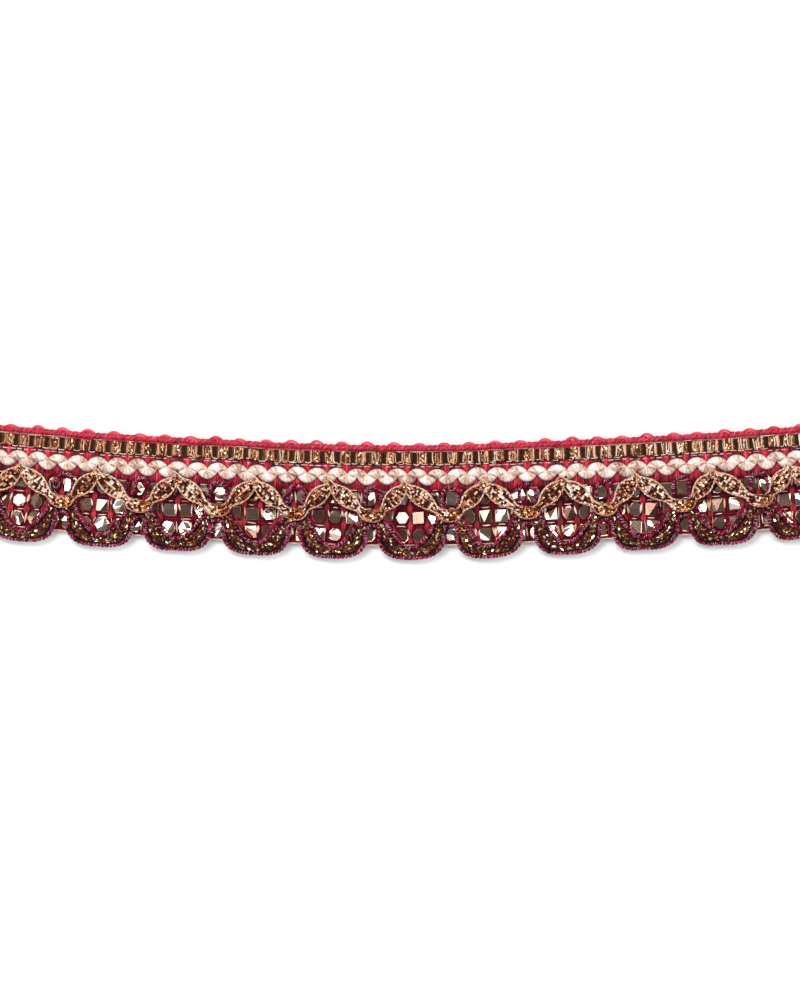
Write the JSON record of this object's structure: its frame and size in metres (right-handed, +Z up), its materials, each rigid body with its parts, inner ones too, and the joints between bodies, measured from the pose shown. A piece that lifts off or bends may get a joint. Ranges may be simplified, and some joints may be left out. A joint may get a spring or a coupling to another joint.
{
  "type": "scalloped metallic braid trim, a cut length",
  "caption": "Flat scalloped trim: corded edge, ladder and film ribbons, satin zigzag cord, twisted cord scallops and a gold leaf garland.",
  "frame": {"origin": "bottom centre of the bounding box, on the surface that the trim lies on", "axes": "+X along the trim, +Y towards its straight corded edge with the scallops towards -Y, +Z up through its thickness"},
  "size_m": [0.1824, 0.0278, 0.0038],
  "materials": {
    "crimson_weave": "woven rayon, matt, dark crimson",
    "crimson_yarn": "twisted rayon yarn, soft sheen",
    "bronze_film": "metallised film ribbon, bronze, mirror bright",
    "mirror_film": "metallised film ribbon embossed in bubbles, mirror bright",
    "pearl_satin": "filament rayon cord, pearl satin",
    "magenta_yarn": "metallic twisted cord, magenta",
    "bronze_yarn": "dark braid of fine yarn and gold film, glittering",
    "gold_yarn": "pale gold rim cord round glittering gold film"
  },
  "bodies": {
    "root": {"woven_tape": "crimson_weave", "edge_cord": "crimson_yarn", "ladder_ribbon": "bronze_film", "film_row_upper": "mirror_film", "film_row_middle": "mirror_film", "film_row_lower": "mirror_film", "pearl_zigzag": "pearl_satin", "inner_wave_cord": "magenta_yarn", "outer_wave_cord": "magenta_yarn", "glitter_braid": "bronze_yarn", "leaf_garland": "gold_yarn"}
  },
  "joints": []
}
